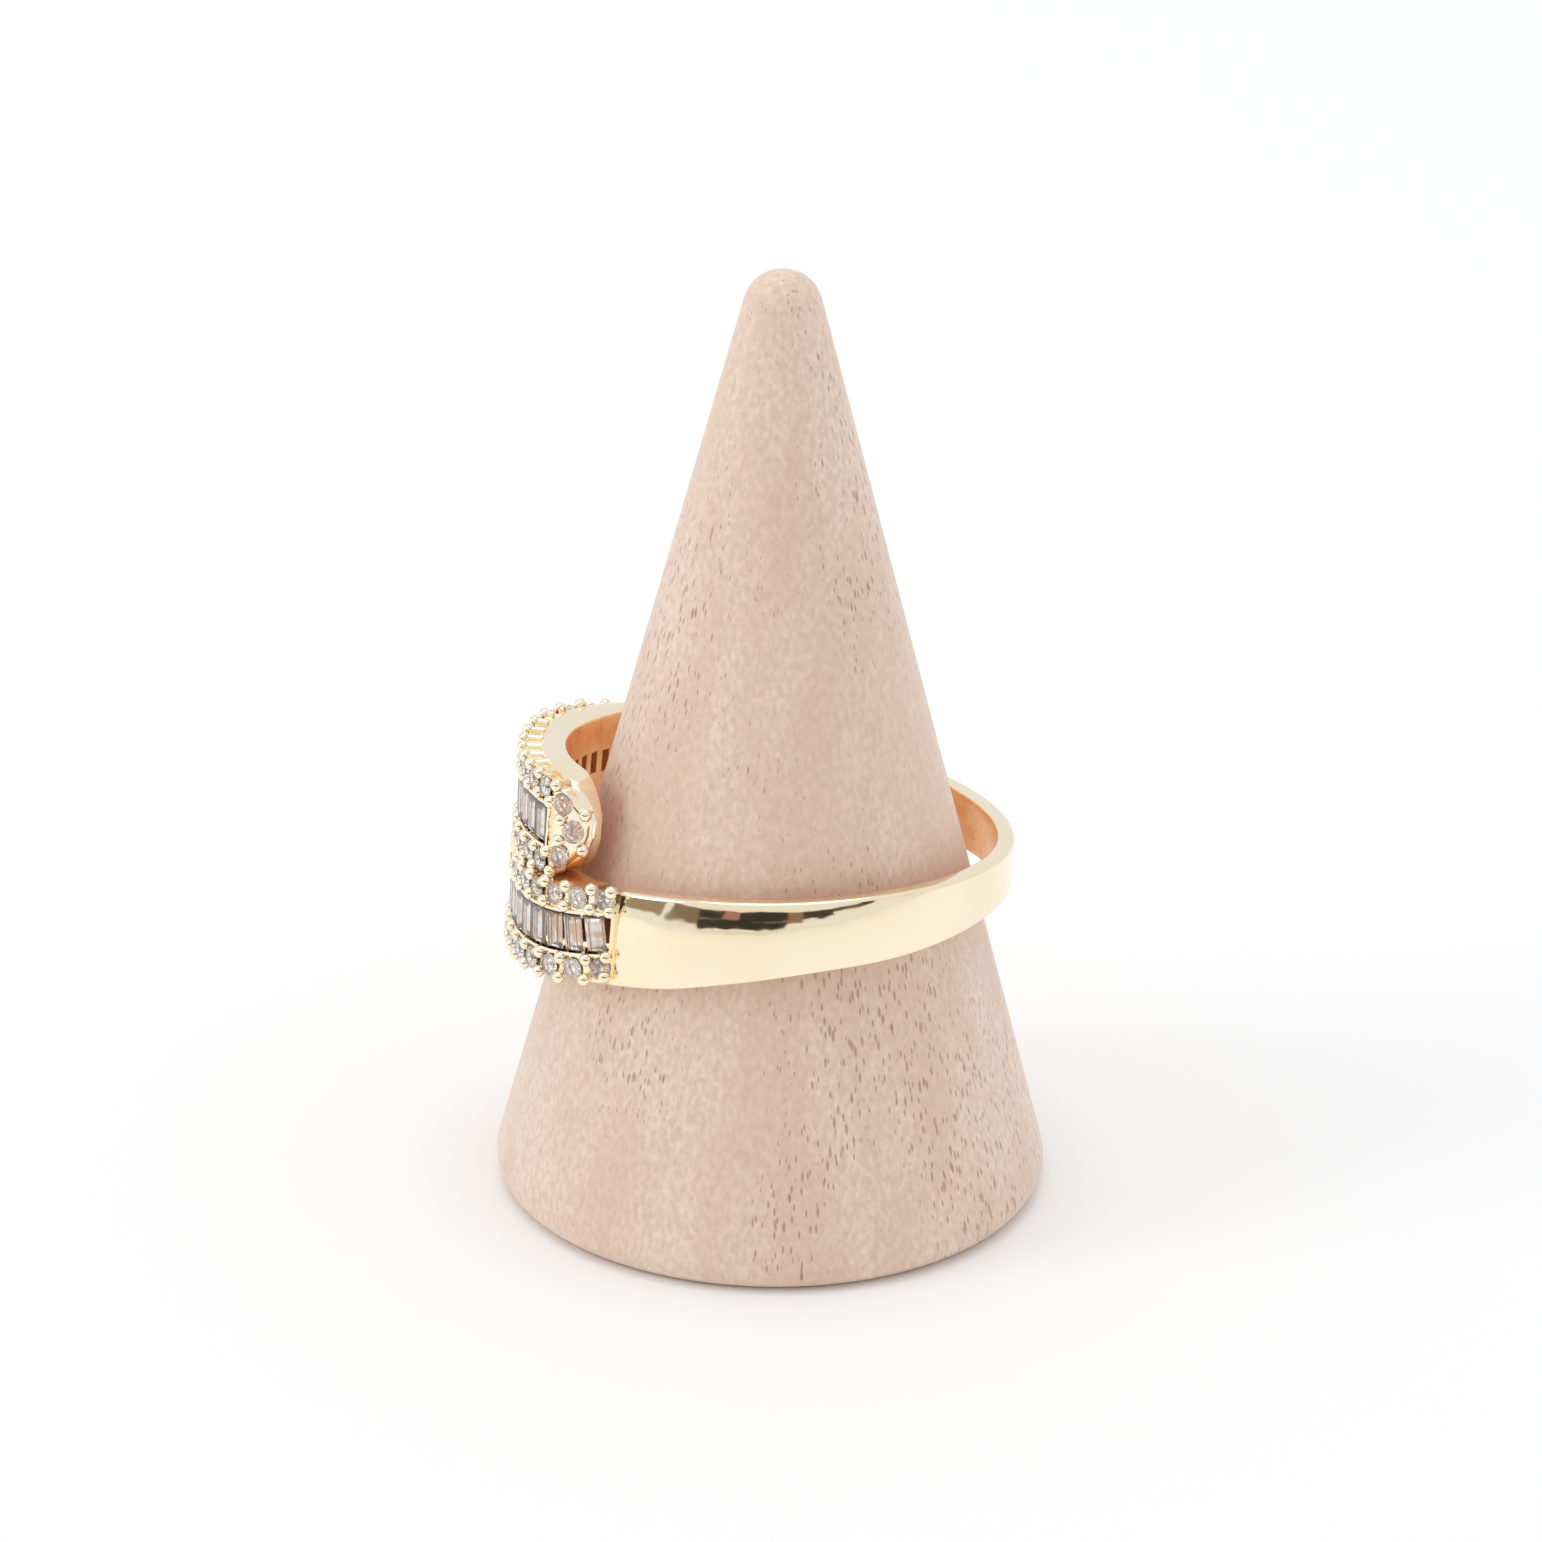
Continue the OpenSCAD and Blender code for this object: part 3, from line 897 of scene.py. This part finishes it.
def baguette(length, width):
    """Step cut: a table, two steps of crown, and a pavilion that runs down to a keel."""
    keel = 0.02
    # Rise of each step of the crown and its inset
    crown = [(GIRDLE_T, 0), (0.08, 0.07), (0.06, 0.13)]
    # Drop of each step of the pavilion, its inset at the ends and its inset at the sides
    pavilion = [(0.2, 0.08, 0.16), (0.3, 0.14, 0.3)]
    bpy.ops.object.select_all(action="DESELECT")
    bpy.ops.mesh.primitive_plane_add(size=1)
    bar = named("baguette")
    shape(bar)
    bpy.ops.transform.resize(value=(length, width, 1), center_override=(0, 0, 0))
    x, y, z = length, width, 0
    for rise, inset in crown:
        z += rise
        bpy.ops.mesh.extrude_region_move(TRANSFORM_OT_translate={"value": (0, 0, rise)})
        grow = ((x - 2 * inset) / x, (y - 2 * inset) / y, 1)
        bpy.ops.transform.resize(value=grow, center_override=(0, 0, z))
        x, y = x - 2 * inset, y - 2 * inset
    close()
    shape(bar, lambda co: co.z < GIRDLE_FOOT)
    x, y, z = length, width, 0
    for drop, inset_x, inset_y in pavilion:
        z -= drop
        bpy.ops.mesh.extrude_region_move(TRANSFORM_OT_translate={"value": (0, 0, -drop)})
        next_x, next_y = x - 2 * inset_x, max(y - 2 * inset_y, keel)
        bpy.ops.transform.resize(value=(next_x / x, next_y / y, 1), center_override=(0, 0, z))
        x, y = next_x, next_y
    outward()
    close()
    return foiled(bar)


def prongs(name, rod, side):
    """Two prongs between each two stones of the row and at its ends, one on each side of it."""
    places, lengths = [], []
    for count in range(LAST_SPOT + 2):
        for offset in (-PRONG_OFFSET, PRONG_OFFSET):
            turn, z = spot(count - 0.5, offset)
            turn = min(turn, STONES_START - SEAM_PRONG)
            places.append(on_bed(turn, z, side, BED_DROP))
            depth = (bed_r(turn) - wall_r(turn)) / math.cos(lean(turn))
            lengths.append(BED_DROP + depth + PRONG_ROOT)
    return set_out(name, rod, places, lengths)


def baguettes(name, side):
    """The channel's stones, each turned along the channel's run."""
    bars = []
    for number in range(BAGUETTES):
        turn = baguette_turn(number)
        r = bed_r(turn)
        width = math.radians(BAGUETTE_TURN) * r - BAGUETTE_GAP
        rise = stones(turn + 1, MIDDLE) - stones(turn - 1, MIDDLE)
        twist = Matrix.Rotation(math.atan(rise / math.radians(2 * r)), 4, "Z")
        bar = baguette(BAGUETTE_L, width)
        bar.data.transform(on_bed(turn, stones(turn, MIDDLE), side) @ twist)
        bars.append(bar)
    return joined(name, bars)


def joint_strip():
    """Strip behind the groove, which joins the two arms."""
    low, high = RING_R + JOINT_LOW, RING_R + JOINT_HIGH
    steps = range(-JOINT_STEPS, JOINT_STEPS + 1)
    turns = [JOINT_TURN * i / JOINT_STEPS for i in steps]
    return drawn_strip("joint", [(turn, low, high, 0, JOINT_HALF) for turn in turns])


def metal_piece(piece, angle):
    """A piece of the band, put in its place on the cone."""
    finished(seated(piece), GOLD, "ring_gold", "ring_band", angle=angle)


finished(turned_cone(), WOOD, "cone_wood", "ring_cone", angle=30)
metal_piece(rolled(flat_shank(), 1), 35)

wall, bed, rails = flat_wall(), flat_bed(), flat_rails()
channel, windows, seats = flat_channel(), flat_windows(), flat_seats()
cut_away(wall, windows, channel, seats)
cut_away(bed, channel, seats)
cut_away(rails, channel)
rod, gem = prong(), round_stone()
for side, name, first in ((1, "lower", 1), (-1, "upper", BAGUETTES + 1)):
    arm = joined(f"arm_{name}", [rolled(copied(p), side) for p in (wall, bed, rails)])
    metal_piece(arm, 30)
    metal_piece(prongs(f"prongs_{name}", rod, side), 50)
    places = [on_bed(*spot(count), side, GIRDLE_LIFT) for count in range(LAST_SPOT + 1)]
    row = set_out(f"round_stones_{name}", gem, places)
    finished(seated(row), STONE, "round_stone", "round_stones")
    channel_row = baguettes(f"baguettes_{name}", side)
    nodes = [f"baguette_{first + i:02d}" for i in range(BAGUETTES)]
    finished(seated(channel_row), STONE, "baguette_stone", *nodes)
metal_piece(rolled(joint_strip(), 1), 30)
throw_away(wall, bed, rails, channel, windows, seats, rod, gem)


# Stage
def pale_floor():
    """White matt board under the cone."""
    board = 6
    bpy.ops.object.select_all(action="DESELECT")
    bpy.ops.mesh.primitive_plane_add(size=board)
    floor = named("floor")
    material, _ = blank("floor_matt_white", Roughness=0.7, Base_Color=colour("#FAFAFA"))
    floor.data.materials.append(material)


def soft_light(name, place, target, size, power):
    """A rectangular lamp that faces its target."""
    data = bpy.data.lights.new(name, "AREA")
    data.shape = "RECTANGLE"
    data.size, data.size_y = size
    data.energy = power
    lamp = bpy.data.objects.new(name, data)
    bpy.context.scene.collection.objects.link(lamp)
    lamp.location = place
    lamp.rotation_euler = (Vector(target) - Vector(place)).to_track_quat("-Z", "Y").to_euler()


def dark_panel(start, end, low, high, tone):
    """Something dark in the room before the ring, which only its reflections show."""
    distance = 0.6
    middle, half = math.radians(start + end) / 2, math.radians(end - start) / 2
    place = (distance * math.sin(middle), -distance * math.cos(middle), (low + high) / 2)
    bpy.ops.object.select_all(action="DESELECT")
    bpy.ops.mesh.primitive_plane_add(size=1, location=place, rotation=(math.pi / 2, 0, middle))
    panel = named("dark_panel")
    panel.scale = (2 * distance * math.tan(half), high - low, 1)
    material, _ = blank("cloth_dark_matt", Roughness=0.8, Base_Color=colour(tone))
    panel.data.materials.append(material)
    panel.visible_camera = False


pale_floor()
# Name, place, target, size in metres and power in watts
for light in (
    ("light_top", (0, 0.05, 0.9), (0, 0, 0), (0.6, 0.6), 1.5),
    ("light_left", (-0.7, -0.2, 0.45), (0, 0, 0.015), (0.35, 0.5), 1.2),
):
    soft_light(*light)
# Start and end to the right of the camera's line in degrees, low and high in metres, colour
for panel in (
    (-70, -55, 0.06, 0.2, "#9A8B74"),
    (-52, -36, 0.04, 0.2, "#84725A"),
    (-36, 5, 0.02, 0.09, "#2C241E"),
    (-36, -24, 0.09, 0.2, "#2C241E"),
    (-24, -16, 0.09, 0.2, "#A8786C"),
    (-16, 5, 0.09, 0.2, "#2C241E"),
    (5, 14, 0.05, 0.2, "#8A7456"),
    (14, 29, 0.08, 0.2, "#3A2E24"),
    (29, 46, 0.14, 0.2, "#4A3A2C"),
    (46, 70, 0.17, 0.2, "#8A7456"),
):
    dark_panel(*panel)


def pale_room():
    """Even, slightly cool light from all round."""
    light, strength = (0.985, 0.992, 1, 1), 0.85
    world = bpy.data.worlds.new("studio")
    bpy.context.scene.world = world
    world.use_nodes = True
    feed(world.node_tree.nodes["Background"], {"Color": light, "Strength": strength})
    bpy.context.scene.view_settings.view_transform = "Standard"


pale_room()


# Camera
def photo_camera():
    """It looks down a little from the near side. Its angles are in radians and its places in
    metres, and px_mm is how many of the picture's pixels a millimetre takes."""
    pitch, roll, distance, across, up = 0.430118, -0.0148438, 0.4, -0.000214913, 0.019527654
    px_mm, picture_px, film_mm = 22.772444, 1542, 36
    forward = Vector((0, math.cos(pitch), -math.sin(pitch)))
    above = Vector((0, math.sin(pitch), math.cos(pitch)))
    right = Vector((1, 0, 0))
    right, above = (
        math.cos(roll) * right - math.sin(roll) * above,
        math.sin(roll) * right + math.cos(roll) * above,
    )
    data = bpy.data.cameras.new("camera")
    data.sensor_width = film_mm
    data.lens = px_mm * distance / METRES / picture_px * film_mm
    data.clip_start = 0.01
    camera = bpy.data.objects.new("camera", data)
    bpy.context.scene.collection.objects.link(camera)
    turned = Matrix((right, above, -forward)).transposed().to_4x4()
    camera.matrix_world = Matrix.Translation(Vector((across, 0, up)) - distance * forward) @ turned
    bpy.context.scene.camera = camera


photo_camera()
